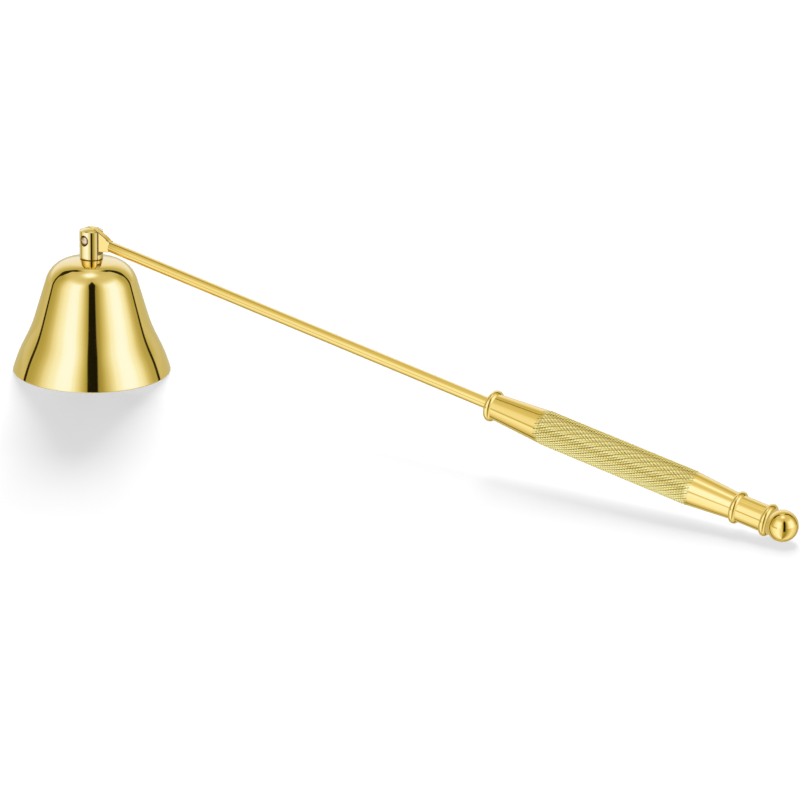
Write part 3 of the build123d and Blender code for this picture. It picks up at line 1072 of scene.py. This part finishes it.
# The dark seam between front and back: a ring that bends forward and widens as it climbs.
seam_shade = 0.96
seam_place = panel("SUBTRACT", 0.385, panel("MULTIPLY", fade(height, 0.85, 0.91), 0.05))
seam_off = panel("ABSOLUTE", panel("ADD", ahead, seam_place))
seam_wide = panel("MULTIPLY", fade(height, 0.45, 0.68), 0.035)
seam_wide = panel("SUBTRACT", seam_wide, panel("MULTIPLY", fade(height, 0.76, 0.88), 0.02))
seam_left = panel("SUBTRACT", fade(height, 0.55, 0.66), fade(height, 0.76, 0.84))
seam_left = panel("MULTIPLY", seam_left, fade(aside, -0.45, -0.55))
seam_wide = panel("ADD", seam_wide, panel("MULTIPLY", seam_left, 0.022))
seam_off = panel("SUBTRACT", seam_off, seam_wide)
seam = panel("MULTIPLY", fade(seam_off, 0.058, 0.034), fade(panel("ABSOLUTE", aside), 0.12, 0.32))
tent = darken(tent, seam, seam_shade)

# The gap in front, where the camera looks in: an upright strip that narrows towards its top.
gap_shade = 0.97
gap_half = panel("MULTIPLY", fade(height, 0.86, 0.66), 0.115)
gap_side = panel("SUBTRACT", panel("ABSOLUTE", panel("SUBTRACT", aside, 0.013)), gap_half)
gap = panel("MULTIPLY", fade(gap_side, 0.035, 0.0), fade(ahead, 0.0, 0.2))
gap = panel("MULTIPLY", gap, panel("MULTIPLY", fade(height, 0.86, 0.8), fade(height, -0.44, -0.33)))
tent = darken(tent, gap, gap_shade)

# Each brightness has its tint, from warm shadow to cool white, and each kind of ray its share.
tints = [
    (0.0, (0, 0, 0)), (0.33, (0.33, 0.315, 0.17)), (0.46, (0.46, 0.43, 0.19)), (0.6, (0.6, 0.59, 0.4)),
    (0.74, (0.74, 0.745, 0.72)), (0.868, (0.868, 0.921, 1.08)), (0.973, (0.973, 1.076, 1.58)),
    (1.0, (1.0, 1.164, 1.83)), (1.05, (1.05, 1.22, 2.1)), (1.08, (1.08, 1.36, 2.95)), (1.1, (1.1, 1.4, 3.4)),
]
tints = [(level / brightest, [c / strongest_tint for c in colour]) for level, colour in tints]
lit = tent_nodes.new("ShaderNodeVectorMath")
lit.operation = "SCALE"
lit.inputs["Scale"].default_value = strongest_tint
tent_links.new(tones(panel("DIVIDE", tent, brightest), tints), lit.inputs[0])
ray = tent_nodes.new("ShaderNodeLightPath")
mirrored = tent_nodes.new("ShaderNodeMix")
mirrored.data_type = "RGBA"
mirrored.inputs["A"].default_value = (0.44, 0.44, 0.44, 1)
tent_links.new(ray.outputs["Is Glossy Ray"], mirrored.inputs["Factor"])
tent_links.new(lit.outputs["Vector"], mirrored.inputs["B"])
shown = tent_nodes.new("ShaderNodeMix")
shown.data_type = "RGBA"
shown.inputs["B"].default_value = (1, 1, 1, 1)
tent_links.new(ray.outputs["Is Camera Ray"], shown.inputs["Factor"])
tent_links.new(mirrored.outputs["Result"], shown.inputs["A"])
light = tent_nodes.new("ShaderNodeBackground")
light.inputs["Strength"].default_value = 1.0
tent_links.new(shown.outputs["Result"], light.inputs["Color"])
surround = tent_nodes.new("ShaderNodeOutputWorld")
tent_links.new(light.outputs[0], surround.inputs["Surface"])


# Lamps: two soft boxes behind the snuffer that throw the shadows on the table, a low one for
# the bell and a high one for the handle. The handle's pieces stay out of the bell's mirror.
lamp_distance = 8.0
bell_pieces = (bell, post, pin)
handle_pieces = (lug, rod, ferrule, grip, collar, finial)


def soft_lamp(name, from_back, lift, wide, tall, power, blockers):
    """A soft box turned from straight behind and lifted, in degrees, that only some pieces shade."""
    lamp_data = bpy.data.lights.new(name, "AREA")
    lamp_data.shape = "RECTANGLE"
    lamp_data.size = wide
    lamp_data.size_y = tall
    lamp_data.energy = power
    lamp = bpy.data.objects.new(name, lamp_data)
    turn = view_turn + math.radians(from_back)
    reach = lamp_distance * math.cos(math.radians(lift))
    lamp_height = lamp_distance * math.sin(math.radians(lift))
    lamp.location = (-math.sin(turn) * reach, math.cos(turn) * reach, lamp_height)
    lamp.rotation_euler = (-lamp.location).to_track_quat("-Z", "Y").to_euler()
    lamp.visible_glossy = False
    bpy.context.scene.collection.objects.link(lamp)
    shaded_by = bpy.data.collections.new(name + "_shade")
    for piece in blockers:
        shaded_by.objects.link(piece)
    lamp.light_linking.blocker_collection = shaded_by


soft_lamp("low_lamp", from_back=-4, lift=19.5, wide=2.4, tall=1.8, power=740.0, blockers=bell_pieces)
soft_lamp("high_lamp", from_back=-12, lift=49, wide=2.4, tall=6.8, power=310.0, blockers=handle_pieces)
# The gold throws no colour on the white table.
for piece in bell_pieces + handle_pieces:
    piece.visible_diffuse = False
for piece in handle_pieces:
    piece.visible_glossy = False


# Camera: a short telephoto at the photograph's angle, framing the whole snuffer. Its place
# and tilt were fitted to the bell, the handle and the table together.
photo_width_px = 800
focal_length_px = 2852.9
sensor_width = 36.0
camera_place = (0.447813, -0.532342, 0.22234)
camera_right = Vector((0.827474, 0.560779, 0.028532)).normalized()
camera_up = Vector((-0.198392, 0.244451, 0.949149))
camera_up = (camera_up - camera_right * camera_up.dot(camera_right)).normalized()
camera_back = camera_right.cross(camera_up)
camera_turn = Matrix((camera_right, camera_up, camera_back)).transposed().to_4x4()
camera_data = bpy.data.cameras.new("camera")
camera_data.sensor_width = sensor_width
camera_data.lens = focal_length_px / photo_width_px * sensor_width
camera_data.clip_start = 0.01
camera = bpy.data.objects.new("camera", camera_data)
camera.matrix_world = Matrix.Translation(camera_place) @ camera_turn
bpy.context.scene.collection.objects.link(camera)
bpy.context.scene.camera = camera
bpy.context.scene.view_settings.view_transform = "Standard"
